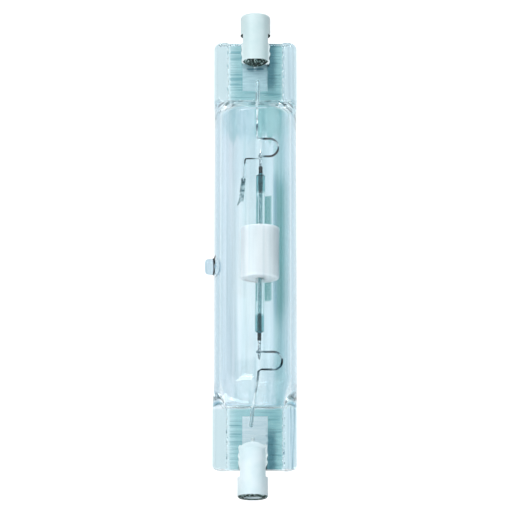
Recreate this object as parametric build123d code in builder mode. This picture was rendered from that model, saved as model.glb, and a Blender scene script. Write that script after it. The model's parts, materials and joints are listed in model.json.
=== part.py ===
from build123d import *
from math import cos, radians, sin
import os

os.makedirs("parts", exist_ok=True)

# Frame: the lamp lies along Y, end A at +Y, Z up, origin on the tube axis at mid length. Sizes in mm.

# Quartz envelope
tube_radius = 10.0
tube_wall = 1.5
shoulder_start = 31.0
shoulder_end = 38.6
neck_margin = 0.05
neck_flat_margin = 0.03
press_end_a = 52.5
press_end_b = 53.0
press_half_width = 10.1
press_shift_b = -0.2
bead_half_thickness = 2.45
web_half_width = 6.85
web_half_thickness = 1.5
web_rise_start = 0.7
web_rise_length = 4.2
web_rise_round = 1.5
web_flare = 2.6
web_flare_start = 0.2
web_flare_length = 3.6
press_corner_radius = 1.2
press_overlap = 1.0
cavity_start = 30.4
cavity_end = 37.3
cavity_end_half_width = 7.0
cavity_end_half_height = 0.4
jaw_mark_pitch = 1.3
jaw_mark_depth = 0.08
jaw_mark_radius = 0.45
jaw_mark_first = 40.2
jaw_mark_count = 9

# Exhaust tip
tip_position_y = -3.3
tip_radius = 1.93
tip_reach = 12.2
tip_flare_radius = 2.8
tip_round = 0.5
tip_root_depth = 0.3
tip_flare_depth = 0.4
tip_flare_height = 0.9
tip_bore_radius = 0.8
tip_bore_reach = 11.1

# End caps
cap_radius = 3.65
cap_outer_end = 59.8
cap_tongue_end = 46.4
cap_tongue_round = 4.4
cap_bevel_start = 48.0
cap_slot_bottom = 54.8
cap_edge_round = 0.8
cut_margin = 0.1
cap_shift_b = -0.65
cement_thickness = 0.45
recess_radius = 2.2
contact_distance = 114.2

# Contacts
contact_seat_radius = 1.8
contact_head_thickness = 0.8
contact_dome = 0.15
contact_shank_radius = 0.9
contact_clearance = 0.05
contact_crimp_depth = 0.8

# Cement
cement_core_half_width = 2.3
cement_fringe = [
    (0.12, 47.1), (0.38, 47.9), (0.22, 48.7), (0.55, 49.6), (0.3, 50.5), (0.48, 51.4), (0.2, 52.2)
]

# Foils and leads
foil_width = 6.1
foil_thickness = 0.05
foil_length = 9.0
foil_shift = -0.1
foil_edge_a = 40.8
foil_edge_b = 40.0
outer_lead_radius = 0.4
outer_lead_clearance = 0.03
outer_lead_overlap = 3.8
inner_lead_radius = 0.27
inner_lead_weld = 2.4
sheath_radius = 0.5
sheath_margin = 0.25
lead_bend_radius = 0.8
lead_entry = 36.4
lead_foot_x_a = 0.6
lead_entry_x_a = 0.47
lead_bend_x_a = 0.35
lead_bend_x_b = 1.0
lead_entry_x_b = -0.5
lead_foot_x_b = -1.1
lead_bend_z = 0.35
loop_corner_z = 0.5
loop_far_a = 28.5
loop_near_a = 24.0
loop_reach_a = 5.5
loop_end_a = 0.7
loop_far_b = 28.8
loop_near_b = 24.45
loop_reach_b = 6.4
loop_end_b = 0.45

# Arc tube
arc_shift = 1.1
arc_tilt = 0.44
arc_body_end_a = 6.3
arc_body_end_b = 6.45
arc_body_radius = 4.58
arc_body_end_radius = 4.7
arc_body_wall = 0.85
arc_body_round = 0.55
plug_thickness = 1.7
plug_recess = 0.15
capillary_radius = 1.075
capillary_bore = 0.45
capillary_end = 19.4
niobium_radius = 0.38
niobium_inner_end = 15.0
niobium_tip_a = 25.9
niobium_tip_b = 26.3
niobium_taper = 1.0
frit_depth = 4.0
frit_height = 0.35
frit_radius = 0.85
collar_radius = 0.5
collar_step = 0.04
collar_length = 1.85

# Electrodes
moly_rod_radius = 0.16
moly_coil_radius = 0.38
moly_coil_gap = 0.15
electrode_joint = 5.2
electrode_radius = 0.2
electrode_tip = 2.9
coil_wire_radius = 0.13
coil_turns = 4
coil_setback = 0.35

# Dose
dose_height = 0.3
dose_start = -3.6
dose_length = 2.4
mercury_radius = 0.42
mercury_y = 1.2

# Getter
getter_wire_radius = 0.17
getter_wire_y = 23.45
getter_corner_x = -2.47
getter_strip_thickness = 0.2
getter_strip_width = 1.1
getter_lip_width = 0.16
getter_lip_height = 0.3
getter_top_x = -2.93
getter_top_y = 18.6
getter_foot_x = -3.45
getter_foot_y = 12.9
getter_tail_x = -4.4
getter_tail_y = 11.8

# Derived sizes
bore_radius = tube_radius - tube_wall
slot_half_height = web_half_thickness + cement_thickness
contact_face = contact_distance / 2
seat_floor = contact_face - contact_head_thickness
contact_bore_end = cap_slot_bottom + contact_crimp_depth
foil_z = -(outer_lead_radius + foil_thickness / 2)
inner_lead_z = foil_z + foil_thickness / 2 + inner_lead_radius
arc_inner_radius = arc_body_radius - arc_body_wall
loop_leg_z = niobium_radius + inner_lead_radius
arc_plane = Plane(
    origin=(arc_shift, 0, 0),
    x_dir=(cos(radians(arc_tilt)), -sin(radians(arc_tilt)), 0),
    z_dir=(0, 0, 1),
)
arc_axis = Axis(arc_plane.origin, arc_plane.y_dir)

# Ends: name, side, press end, press shift, cap shift, foil edge
ends = [
    ("a", 1, press_end_a, 0.0, 0.0, foil_edge_a),
    ("b", -1, press_end_b, press_shift_b, cap_shift_b, foil_edge_b),
]


def ease(value):
    return value * value * (3 - 2 * value)


def cross_plane(y):
    return Plane.XZ.offset(-y)


def section(y, half_width, half_height, corner, shift):
    with BuildSketch(cross_plane(y)) as face:
        with Locations((shift, 0)):
            RectangleRounded(2 * half_width, 2 * half_height, corner)
    return face.sketch


def build_neck(side, start, end, radius, half_width, half_height, shift):
    # Smooth change from the round tube to the flat end
    sections = []
    for part in (-0.1, 0.0, 0.25, 0.5, 0.75, 1.0):
        grow = ease(max(part, 0))
        width = radius + neck_margin + (half_width - radius - neck_margin) * grow
        height = radius + neck_margin + (half_height - radius - neck_margin) * grow
        corner = height * (0.99 - 0.25 * grow)
        y = side * (start + (end - start) * part)
        sections.append(section(y, width, height, corner, shift * grow))
    with BuildPart() as neck:
        loft(sections)
    return neck.part


def build_web_cutter(side, press_end, shift):
    # Space above the thin web, rising into the shoulder and flaring towards the tube sides
    reach = press_end + press_overlap
    rise_start = shoulder_end - web_rise_start
    rise_end = rise_start - web_rise_length
    flare_start = shoulder_end + web_flare_start
    flare_end = flare_start - web_flare_length
    flare_width = web_half_width + web_flare
    with BuildPart() as cutter:
        with BuildSketch(Plane.YZ):
            with BuildLine():
                FilletPolyline(
                    (side * reach, web_half_thickness),
                    (side * rise_start, web_half_thickness),
                    (side * rise_end, tube_radius),
                    radius=web_rise_round,
                )
                Polyline(
                    (side * rise_end, tube_radius),
                    (side * reach, tube_radius),
                    (side * reach, web_half_thickness),
                )
            make_face()
        extrude(amount=tube_radius + press_overlap, both=True)
        with BuildSketch(Plane.XY):
            with BuildLine():
                Polyline(
                    (shift + web_half_width, side * reach),
                    (shift + web_half_width, side * flare_start),
                    (shift + flare_width, side * flare_end),
                    (shift + flare_width, side * (rise_end - press_overlap)),
                    (shift - flare_width, side * (rise_end - press_overlap)),
                    (shift - flare_width, side * flare_end),
                    (shift - web_half_width, side * flare_start),
                    (shift - web_half_width, side * reach),
                    close=True,
                )
            make_face()
        extrude(amount=tube_radius + press_overlap, mode=Mode.INTERSECT)
    return cutter.part


def build_tongue_trim(side, cap_shift):
    # Outside of an upright cone: it leaves a tongue end that is round from above and beveled from its top
    slope = (cap_bevel_start - cap_tongue_end) / (cap_radius - slot_half_height)
    low = slot_half_height - cut_margin
    high = cap_radius + cut_margin
    centre = side * (cap_tongue_end + cap_tongue_round)
    low_radius = cap_tongue_round + slope * cut_margin
    high_radius = low_radius - slope * (high - low)
    box_length = cap_tongue_round + 2 * cut_margin
    with BuildPart() as trim:
        with Locations((cap_shift, centre - side * box_length / 2, (low + high) / 2)):
            Box(2 * cap_radius + 2 * cut_margin, box_length, high - low)
        with Locations((cap_shift, centre, (low + high) / 2)):
            Cone(low_radius, high_radius, high - low, mode=Mode.SUBTRACT)
    return trim.part


def inner_lead_points(name):
    # Weld end, cavity entry, bend, loop corners, free end of the crossing leg
    if name == "a":
        return [
            (lead_foot_x_a, foil_edge_a + inner_lead_weld, inner_lead_z),
            (lead_entry_x_a, lead_entry, inner_lead_z),
            (lead_bend_x_a, loop_far_a, lead_bend_z),
            (loop_reach_a, loop_far_a, loop_corner_z),
            (loop_reach_a, loop_near_a, loop_leg_z),
            (loop_end_a, loop_near_a, loop_leg_z),
        ]
    return [
        (lead_foot_x_b, -foil_edge_b - inner_lead_weld, inner_lead_z),
        (lead_entry_x_b, -lead_entry, inner_lead_z),
        (lead_bend_x_b, -loop_far_b, lead_bend_z),
        (loop_reach_b, -loop_far_b, loop_corner_z),
        (loop_reach_b, -loop_near_b, loop_leg_z),
        (loop_end_b, -loop_near_b, loop_leg_z),
    ]


# Outer envelope
necks = []
presses = []
cavity_ends = []
for name, side, press_end, press_shift, cap_shift, foil_edge in ends:
    cutter = build_web_cutter(side, press_end, press_shift)
    cutter_below = mirror(cutter, about=Plane.XY)
    with BuildPart() as neck:
        add(
            build_neck(
                side, shoulder_start, shoulder_end, tube_radius,
                press_half_width, bead_half_thickness, press_shift,
            )
        )
        add([cutter, cutter_below], mode=Mode.SUBTRACT)
        # slight flats where the jaws start, on which the lamp lies
        Box(
            4 * tube_radius, 4 * shoulder_end, 2 * (tube_radius + neck_flat_margin),
            mode=Mode.INTERSECT,
        )
    necks.append(neck.part)
    press_face = section(
        side * shoulder_end, press_half_width, bead_half_thickness, 0.74 * bead_half_thickness, press_shift
    )
    with BuildPart() as press:
        extrude(press_face, amount=-side * (press_end - shoulder_end))
        plan_length = 2 * (press_end - shoulder_end)
        with BuildSketch(Plane.XY):
            with Locations((press_shift, side * (press_end - plan_length / 2))):
                RectangleRounded(2 * press_half_width + neck_margin, plan_length, press_corner_radius)
        extrude(amount=tube_radius, both=True, mode=Mode.INTERSECT)
        add([cutter, cutter_below], mode=Mode.SUBTRACT)
        # jaw marks across both faces of the web
        marks = []
        for mark in range(jaw_mark_count):
            mark_y = side * (jaw_mark_first + mark * jaw_mark_pitch)
            for face in (1, -1):
                height = face * (web_half_thickness + jaw_mark_radius - jaw_mark_depth)
                marks.append(Location((press_shift, mark_y, height), (0, 90, 0)))
        with Locations(*marks):
            Cylinder(jaw_mark_radius, 2 * web_half_width - 0.6, mode=Mode.SUBTRACT)
    presses.append(press.part)
    cavity_ends.append(
        build_neck(
            side, cavity_start, cavity_end, bore_radius,
            cavity_end_half_width, cavity_end_half_height, press_shift,
        )
    )

with BuildPart() as outer_envelope:
    with BuildSketch(cross_plane(0)):
        Circle(tube_radius)
    extrude(amount=shoulder_start - 0.1 * (shoulder_end - shoulder_start), both=True)
    add(necks)
    add(presses)
    # exhaust tip
    tip_axis = Axis((0, tip_position_y, 0), (1, 0, 0))
    tip_root = -bore_radius - tip_root_depth
    flare_x = -tube_radius + tip_flare_depth
    stem_x = -tube_radius - tip_flare_height
    tip_side = tip_position_y + tip_radius
    with BuildSketch(Plane.XY):
        with BuildLine():
            Polyline(
                (-tip_reach, tip_side - tip_round),
                (-tip_reach, tip_position_y),
                (tip_root, tip_position_y),
                (tip_root, tip_position_y + tip_flare_radius),
                (flare_x, tip_position_y + tip_flare_radius),
            )
            Spline(
                (flare_x, tip_position_y + tip_flare_radius),
                (-tube_radius - 0.25, tip_side + 0.22),
                (stem_x, tip_side),
                tangents=((-1, -0.6), (-1, 0)),
            )
            Line((stem_x, tip_side), (-tip_reach + tip_round, tip_side))
            RadiusArc((-tip_reach + tip_round, tip_side), (-tip_reach, tip_side - tip_round), -tip_round)
        make_face()
    revolve(axis=tip_axis)
    # sealed cavity with the dead end bore of the tip
    with BuildSketch(cross_plane(0)):
        Circle(bore_radius)
    extrude(amount=cavity_start, both=True, mode=Mode.SUBTRACT)
    add(cavity_ends, mode=Mode.SUBTRACT)
    with BuildSketch(Plane.XY):
        with BuildLine():
            Polyline(
                (-bore_radius + 1, tip_position_y),
                (-bore_radius + 1, tip_position_y + tip_bore_radius + 0.2),
                (-tube_radius, tip_position_y + tip_bore_radius * 0.7),
                (-tip_bore_reach, tip_position_y + 0.1),
                (-tip_bore_reach, tip_position_y),
                close=True,
            )
        make_face()
    revolve(axis=tip_axis, mode=Mode.SUBTRACT)
    # pockets that the foils and leads fill, and the loose sheath around each inner lead
    for name, side, press_end, press_shift, cap_shift, foil_edge in ends:
        with Locations((foil_shift, side * (foil_edge + foil_length / 2), foil_z)):
            Box(foil_width, foil_length, foil_thickness, mode=Mode.SUBTRACT)
        outer_lead_start = foil_edge + foil_length - outer_lead_overlap
        with BuildSketch(cross_plane(side * (outer_lead_start - outer_lead_clearance))):
            with Locations((cap_shift, 0)):
                Circle(outer_lead_radius + outer_lead_clearance)
        extrude(amount=-side * 10, mode=Mode.SUBTRACT)
        weld, entry = [Vector(*point) for point in inner_lead_points(name)[:2]]
        along = (entry - weld).normalized()
        with BuildSketch(Plane(origin=weld - along * sheath_margin, z_dir=along)):
            Circle(sheath_radius)
        extrude(amount=(entry - weld).length + sheath_margin, mode=Mode.SUBTRACT)
outer_envelope.part.label = "outer_envelope"
export_step(outer_envelope.part, "parts/outer_envelope.step")

# End fittings: cap, contact, cement, foil and leads
for name, side, press_end, press_shift, cap_shift, foil_edge in ends:
    cap_plane = Plane(origin=(cap_shift, 0, 0), x_dir=(1, 0, 0), z_dir=(0, 0, 1))
    cap_axis = Axis((cap_shift, 0, 0), (0, 1, 0))

    with BuildPart() as end_cap:
        with BuildSketch(cap_plane):
            with BuildLine():
                Polyline(
                    (0, side * cap_tongue_end),
                    (cap_radius, side * cap_tongue_end),
                    (cap_radius, side * cap_outer_end),
                    (recess_radius, side * cap_outer_end),
                    (recess_radius, side * contact_face),
                    (contact_seat_radius, side * contact_face),
                    (contact_seat_radius, side * seat_floor),
                    (0, side * seat_floor),
                    close=True,
                )
            make_face()
        revolve(axis=cap_axis)
        rims = end_cap.edges().filter_by_position(
            Axis.Y, side * cap_outer_end - 0.01, side * cap_outer_end + 0.01
        )
        fillet(rims.sort_by(SortBy.LENGTH)[-1], cap_edge_round)
        rims = end_cap.edges().filter_by_position(
            Axis.Y, side * cap_outer_end - 0.01, side * cap_outer_end + 0.01
        )
        fillet(rims.sort_by(SortBy.LENGTH)[0], cap_edge_round / 2)
        # slot over the flat end, and the tongue ends
        slot_length = cap_slot_bottom - cap_tongue_end + 1
        with Locations((cap_shift, side * (cap_slot_bottom - slot_length / 2), 0)):
            Box(3 * cap_radius, slot_length, 2 * slot_half_height, mode=Mode.SUBTRACT)
        trim = build_tongue_trim(side, cap_shift)
        add([trim, mirror(trim, about=Plane.XY)], mode=Mode.SUBTRACT)
        with BuildSketch(cross_plane(side * (cap_slot_bottom - 0.5))):
            with Locations((cap_shift, 0)):
                Circle(contact_shank_radius + contact_clearance)
        extrude(amount=-side * (seat_floor - cap_slot_bottom + 1), mode=Mode.SUBTRACT)
    end_cap.part.label = f"end_cap_{name}"
    export_step(end_cap.part, f"parts/end_cap_{name}.step")

    with BuildPart() as contact:
        head_radius = contact_seat_radius - contact_clearance
        with BuildSketch(cap_plane):
            with BuildLine():
                Polyline(
                    (0, side * contact_bore_end),
                    (outer_lead_radius, side * contact_bore_end),
                    (outer_lead_radius, side * cap_slot_bottom),
                    (contact_shank_radius, side * cap_slot_bottom),
                    (contact_shank_radius, side * seat_floor),
                    (head_radius, side * seat_floor),
                    (head_radius, side * (contact_face - contact_dome)),
                )
                RadiusArc(
                    (head_radius, side * (contact_face - contact_dome)),
                    (0, side * contact_face),
                    -side * (head_radius ** 2 + contact_dome ** 2) / (2 * contact_dome),
                )
                Line((0, side * contact_face), (0, side * contact_bore_end))
            make_face()
        revolve(axis=cap_axis)
    contact.part.label = f"contact_{name}"
    export_step(contact.part, f"parts/contact_{name}.step")

    with BuildPart() as cap_cement:
        # squeezed out layer on both faces of the web
        side_chord = (cap_radius ** 2 - slot_half_height ** 2) ** 0.5
        right = [(cap_shift + side_chord + out, side * y) for out, y in cement_fringe]
        left = [(cap_shift - side_chord - out * 0.8, side * (y + 0.2)) for out, y in reversed(cement_fringe)]
        with BuildSketch(Plane.XY.offset(web_half_thickness)):
            with BuildLine():
                corner_right = (cap_shift + side_chord, side * press_end)
                corner_left = (cap_shift - side_chord, side * press_end)
                Spline(*right, corner_right)
                Line(corner_right, corner_left)
                Spline(corner_left, *left)
                Line(left[-1], right[0])
            make_face()
        extrude(amount=cement_thickness)
        mirror(about=Plane.XY)
        core_length = cap_slot_bottom - press_end
        with Locations((cap_shift, side * (press_end + core_length / 2), 0)):
            Box(2 * cement_core_half_width, core_length, 2 * slot_half_height)
        with BuildSketch(cross_plane(side * (press_end - 1))):
            with Locations((cap_shift, 0)):
                Circle(outer_lead_radius)
        extrude(amount=-side * (core_length + 2), mode=Mode.SUBTRACT)
    cap_cement.part.label = f"cap_cement_{name}"
    export_step(cap_cement.part, f"parts/cap_cement_{name}.step")

    with BuildPart() as seal_foil:
        with Locations((foil_shift, side * (foil_edge + foil_length / 2), foil_z)):
            Box(foil_width, foil_length, foil_thickness)
    seal_foil.part.label = f"seal_foil_{name}"
    export_step(seal_foil.part, f"parts/seal_foil_{name}.step")

    outer_lead_start = foil_edge + foil_length - outer_lead_overlap
    with BuildPart() as outer_lead:
        with BuildSketch(cross_plane(side * outer_lead_start)):
            with Locations((cap_shift, 0)):
                Circle(outer_lead_radius)
        extrude(amount=-side * (contact_bore_end - outer_lead_start))
    outer_lead.part.label = f"outer_lead_{name}"
    export_step(outer_lead.part, f"parts/outer_lead_{name}.step")

    with BuildPart() as inner_lead:
        points = [Vector(*point) for point in inner_lead_points(name)]
        loop_radius = 0.485 * abs(points[4].Y - points[3].Y)
        with BuildLine() as lead_path:
            FilletPolyline(*points, radius=[3, lead_bend_radius, loop_radius, loop_radius])
        with BuildSketch(Plane(origin=lead_path.wires()[0] @ 0, z_dir=lead_path.wires()[0] % 0)):
            Circle(inner_lead_radius)
        sweep(path=lead_path.wires()[0])
        if name == "b":
            # small melted ball on the free end
            with Locations(points[5]):
                Sphere(inner_lead_radius * 1.25, rotation=(0, 90, 0))
    inner_lead.part.label = f"inner_lead_{name}"
    export_step(inner_lead.part, f"parts/inner_lead_{name}.step")

# Arc tube
arc_body_middle = (arc_body_end_a - arc_body_end_b) / 2
with BuildPart() as arc_tube_body:
    with BuildSketch(arc_plane):
        with BuildLine():
            Polyline(
                (arc_body_end_radius - arc_body_round, arc_body_end_a),
                (arc_inner_radius, arc_body_end_a),
                (arc_inner_radius, -arc_body_end_b),
                (arc_body_end_radius - arc_body_round, -arc_body_end_b),
            )
            RadiusArc(
                (arc_body_end_radius - arc_body_round, -arc_body_end_b),
                (arc_body_end_radius, -arc_body_end_b + arc_body_round),
                -arc_body_round,
            )
            ThreePointArc(
                (arc_body_end_radius, -arc_body_end_b + arc_body_round),
                (arc_body_radius, arc_body_middle),
                (arc_body_end_radius, arc_body_end_a - arc_body_round),
            )
            RadiusArc(
                (arc_body_end_radius, arc_body_end_a - arc_body_round),
                (arc_body_end_radius - arc_body_round, arc_body_end_a),
                -arc_body_round,
            )
        make_face()
    revolve(axis=arc_axis)
arc_tube_body.part.label = "arc_tube_body"
export_step(arc_tube_body.part, "parts/arc_tube_body.step")


def turned(points):
    # Solid of revolution about the arc tube axis from (radius, position) points
    with BuildPart() as solid:
        with BuildSketch(arc_plane):
            with BuildLine():
                Polyline(*points, close=True)
            make_face()
        revolve(axis=arc_axis)
    return solid


def ring(inner, outer, start, end):
    return turned([(inner, start), (outer, start), (outer, end), (inner, end)])


def rod(radius, start, end):
    return ring(0, radius, start, end)


for name, side, body_end, niobium_tip in [
    ("a", 1, arc_body_end_a, niobium_tip_a),
    ("b", -1, arc_body_end_b, niobium_tip_b),
]:
    plug_outer = body_end - plug_recess
    plug_inner = plug_outer - plug_thickness

    end_plug = ring(capillary_radius, arc_inner_radius, side * plug_inner, side * plug_outer)
    end_plug.part.label = f"end_plug_{name}"
    export_step(end_plug.part, f"parts/end_plug_{name}.step")

    capillary = turned(
        [
            (capillary_bore, side * plug_inner),
            (capillary_radius, side * plug_inner),
            (capillary_radius, side * (capillary_end - 0.15)),
            (capillary_radius - 0.15, side * capillary_end),
            (capillary_bore, side * capillary_end),
        ]
    )
    capillary.part.label = f"capillary_{name}"
    export_step(capillary.part, f"parts/capillary_{name}.step")

    frit_seal = turned(
        [
            (niobium_radius, side * (capillary_end - frit_depth)),
            (capillary_bore, side * (capillary_end - frit_depth)),
            (capillary_bore, side * capillary_end),
            (frit_radius, side * capillary_end),
            (frit_radius * 0.85, side * (capillary_end + frit_height * 0.45)),
            (niobium_radius + 0.08, side * (capillary_end + frit_height)),
            (niobium_radius, side * (capillary_end + frit_height)),
        ]
    )
    frit_seal.part.label = f"frit_seal_{name}"
    export_step(frit_seal.part, f"parts/frit_seal_{name}.step")

    niobium_lead = turned(
        [
            (0, side * niobium_inner_end),
            (niobium_radius, side * niobium_inner_end),
            (niobium_radius, side * (niobium_tip - niobium_taper)),
            (niobium_radius * 0.35, side * niobium_tip),
            (0, side * niobium_tip),
        ]
    )
    niobium_lead.part.label = f"niobium_lead_{name}"
    export_step(niobium_lead.part, f"parts/niobium_lead_{name}.step")

    collar_start = capillary_end + frit_height
    bead = collar_length / 2
    groove_radius = niobium_radius + collar_step
    profile = [
        (niobium_radius, collar_start),
        (groove_radius, collar_start),
        (collar_radius, collar_start + 0.25 * bead),
        (collar_radius, collar_start + 0.75 * bead),
        (groove_radius, collar_start + bead),
        (collar_radius, collar_start + 1.25 * bead),
        (collar_radius, collar_start + 1.75 * bead),
        (groove_radius, collar_start + 2 * bead),
        (niobium_radius, collar_start + 2 * bead),
    ]
    stop_collar = turned([(radius, side * position) for radius, position in profile])
    stop_collar.part.label = f"stop_collar_{name}"
    export_step(stop_collar.part, f"parts/stop_collar_{name}.step")

    moly_rod = rod(moly_rod_radius, side * electrode_joint, side * niobium_inner_end)
    moly_rod.part.label = f"moly_rod_{name}"
    export_step(moly_rod.part, f"parts/moly_rod_{name}.step")

    coil_sleeve_start = side * (electrode_joint + moly_coil_gap)
    coil_sleeve_end = side * (niobium_inner_end - moly_coil_gap)
    moly_coil = ring(moly_rod_radius, moly_coil_radius, coil_sleeve_start, coil_sleeve_end)
    moly_coil.part.label = f"moly_coil_{name}"
    export_step(moly_coil.part, f"parts/moly_coil_{name}.step")

    electrode = rod(electrode_radius, side * electrode_tip, side * electrode_joint)
    electrode.part.label = f"electrode_{name}"
    export_step(electrode.part, f"parts/electrode_{name}.step")

    coil_radius = electrode_radius + coil_wire_radius
    coil_pitch = 2.1 * coil_wire_radius
    coil_start = arc_plane.from_local_coords((0, side * (electrode_tip + coil_setback + coil_wire_radius), 0))
    with BuildPart() as electrode_coil:
        with BuildLine() as coil_path:
            Helix(
                pitch=coil_pitch,
                height=coil_pitch * coil_turns,
                radius=coil_radius,
                center=coil_start,
                direction=arc_plane.y_dir * side,
            )
        with BuildSketch(Plane(origin=coil_path.line @ 0, z_dir=coil_path.line % 0)):
            RegularPolygon(coil_wire_radius, 8)
        sweep(path=coil_path.line)
    electrode_coil.part.label = f"electrode_coil_{name}"
    export_step(electrode_coil.part, f"parts/electrode_coil_{name}.step")

# Dose, lying on the lowest line of the arc tube wall
dose_plane = Plane(
    origin=arc_plane.from_local_coords((0, dose_start, 0)),
    x_dir=arc_plane.x_dir,
    z_dir=arc_plane.y_dir,
)
with BuildPart() as halide_dose:
    with BuildSketch(dose_plane):
        Circle(arc_inner_radius)
        with Locations((0, arc_inner_radius)):
            Rectangle(2 * arc_inner_radius, 2 * dose_height, mode=Mode.INTERSECT)
    extrude(amount=dose_length)
    with BuildSketch(arc_plane):
        with Locations((0, dose_start + dose_length / 2)):
            Ellipse(dose_length * 0.45, dose_length / 2)
    extrude(amount=arc_body_end_radius, both=True, mode=Mode.INTERSECT)
halide_dose.part.label = "halide_dose"
export_step(halide_dose.part, "parts/halide_dose.step")

with BuildPart() as mercury_drop:
    with BuildSketch(dose_plane):
        Circle(arc_inner_radius)
    extrude(amount=10)
    with Locations(arc_plane.from_local_coords((0, mercury_y, -arc_inner_radius + 0.85 * mercury_radius))):
        Sphere(mercury_radius, mode=Mode.INTERSECT)
mercury_drop.part.label = "mercury_drop"
export_step(mercury_drop.part, "parts/mercury_drop.step")

# Getter
getter_wire_z = niobium_radius + getter_wire_radius
strip_top = Vector(getter_top_x, getter_top_y, 0)
strip_bottom = Vector(getter_foot_x, getter_foot_y, 0)
strip_along = (strip_bottom - strip_top).normalized()
strip_floor = getter_wire_z - getter_wire_radius - getter_strip_thickness
wire_end = strip_top + (strip_bottom - strip_top) * 0.2
with BuildPart() as getter_wire:
    with BuildLine() as getter_path:
        FilletPolyline(
            (arc_shift + 0.55, getter_wire_y, getter_wire_z),
            (getter_corner_x, getter_wire_y, getter_wire_z),
            (wire_end.X, wire_end.Y, getter_wire_z),
            radius=0.5,
        )
    with BuildSketch(Plane(origin=getter_path.wires()[0] @ 0, z_dir=getter_path.wires()[0] % 0)):
        Circle(getter_wire_radius)
    sweep(path=getter_path.wires()[0])
getter_wire.part.label = "getter_wire"
export_step(getter_wire.part, "parts/getter_wire.step")

with BuildPart() as getter_strip:
    half_strip = getter_strip_width / 2
    with BuildSketch(
        Plane(
            origin=(strip_top.X, strip_top.Y, strip_floor),
            x_dir=(strip_along.Y, -strip_along.X, 0),
            z_dir=(strip_along.X, strip_along.Y, 0),
        )
    ):
        Rectangle(getter_strip_width, getter_strip_thickness, align=(Align.CENTER, Align.MIN))
        for edge in (1, -1):
            with Locations((edge * (half_strip - getter_lip_width / 2), getter_strip_thickness)):
                Rectangle(getter_lip_width, getter_lip_height, align=(Align.CENTER, Align.MIN))
    extrude(amount=(strip_bottom - strip_top).length)
    # thin tail below the strip
    tail = Vector(getter_tail_x, getter_tail_y, 0)
    across = Vector(strip_along.Y, -strip_along.X, 0) * half_strip
    tail_root = strip_bottom - strip_along * half_strip
    with BuildSketch(Plane.XY.offset(strip_floor)):
        with BuildLine():
            Polyline(
                (tail_root.X, tail_root.Y),
                (strip_bottom.X, strip_bottom.Y),
                (tail.X + getter_lip_width / 2, tail.Y - getter_lip_width / 2),
                (tail.X - getter_lip_width / 2, tail.Y),
                (tail_root.X + across.X * 0.9, tail_root.Y + across.Y * 0.9),
                close=True,
            )
        make_face()
    extrude(amount=getter_strip_thickness)
getter_strip.part.label = "getter_strip"
export_step(getter_strip.part, "parts/getter_strip.step")
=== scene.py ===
import json
import math

import bmesh
import bpy
import numpy as np
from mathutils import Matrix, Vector

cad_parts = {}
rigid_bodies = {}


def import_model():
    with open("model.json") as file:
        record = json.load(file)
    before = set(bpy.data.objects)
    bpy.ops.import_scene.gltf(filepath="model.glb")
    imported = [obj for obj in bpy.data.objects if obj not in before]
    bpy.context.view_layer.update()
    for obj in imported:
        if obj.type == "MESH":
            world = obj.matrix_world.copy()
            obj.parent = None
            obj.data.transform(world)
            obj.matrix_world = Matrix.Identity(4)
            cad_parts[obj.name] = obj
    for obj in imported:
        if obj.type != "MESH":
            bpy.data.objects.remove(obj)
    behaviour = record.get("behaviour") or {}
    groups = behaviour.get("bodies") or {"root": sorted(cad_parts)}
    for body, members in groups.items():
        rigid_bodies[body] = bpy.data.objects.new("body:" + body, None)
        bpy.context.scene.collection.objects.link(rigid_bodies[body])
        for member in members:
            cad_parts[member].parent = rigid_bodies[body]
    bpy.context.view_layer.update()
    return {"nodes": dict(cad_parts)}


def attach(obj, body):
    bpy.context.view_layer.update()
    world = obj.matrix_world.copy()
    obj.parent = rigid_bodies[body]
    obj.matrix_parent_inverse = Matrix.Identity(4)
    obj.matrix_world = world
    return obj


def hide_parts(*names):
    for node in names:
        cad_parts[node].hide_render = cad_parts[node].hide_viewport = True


for stale in list(bpy.data.objects):
    bpy.data.objects.remove(stale)

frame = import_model()
nodes = frame["nodes"]
mm = 0.001
print("frame loaded,", len(nodes), "nodes")


def smooth(value):
    # eased step: 0 below 0, 1 above 1
    value = np.clip(value, 0.0, 1.0)
    return value * value * (3.0 - 2.0 * value)


def rising(value, start, end):
    # eased from 0 at the start to 1 at the end
    return smooth((value - start) / (end - start))


def wobble(along, turns, swing, slowTurns):
    # a sine whose own phase swings, so that its waves are uneven
    return np.sin(turns * along + swing * np.sin(slowTurns * along))


def softMin(first, second, blend):
    # the lower of two heights, with a rounded change of width blend
    mix = np.clip(0.5 + 0.5 * (second - first) / blend, 0.0, 1.0)
    return second + (first - second) * mix - blend * mix * (1.0 - mix)


def rounding(radius, toEnd):
    # how far a rounded corner of that radius has drawn in, at a distance from the end
    past = np.clip(radius - toEnd, 0, None)
    return radius - np.sqrt(np.clip(radius ** 2 - past ** 2, 0, None))


def bell(value, width):
    # 1 at zero, falling to both sides
    return np.exp(-(value / width) ** 2)


def stations(*pieces):
    # places along the lamp: each piece is (start, end, count), ends shared
    spans = [np.linspace(start, end, count) for start, end, count in pieces]
    return np.concatenate([spans[0]] + [span[1:] for span in spans[1:]])


def gridFaces(rows, columns, first, flip):
    # quads of a grid whose columns close on themselves
    row, column = np.meshgrid(np.arange(rows - 1), np.arange(columns), indexing="ij")
    after = (column + 1) % columns
    corners = [row * columns + column, (row + 1) * columns + column,
               (row + 1) * columns + after, row * columns + after]
    if flip:
        corners.reverse()
    return np.stack(corners, axis=-1).reshape(-1, 4) + first


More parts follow.
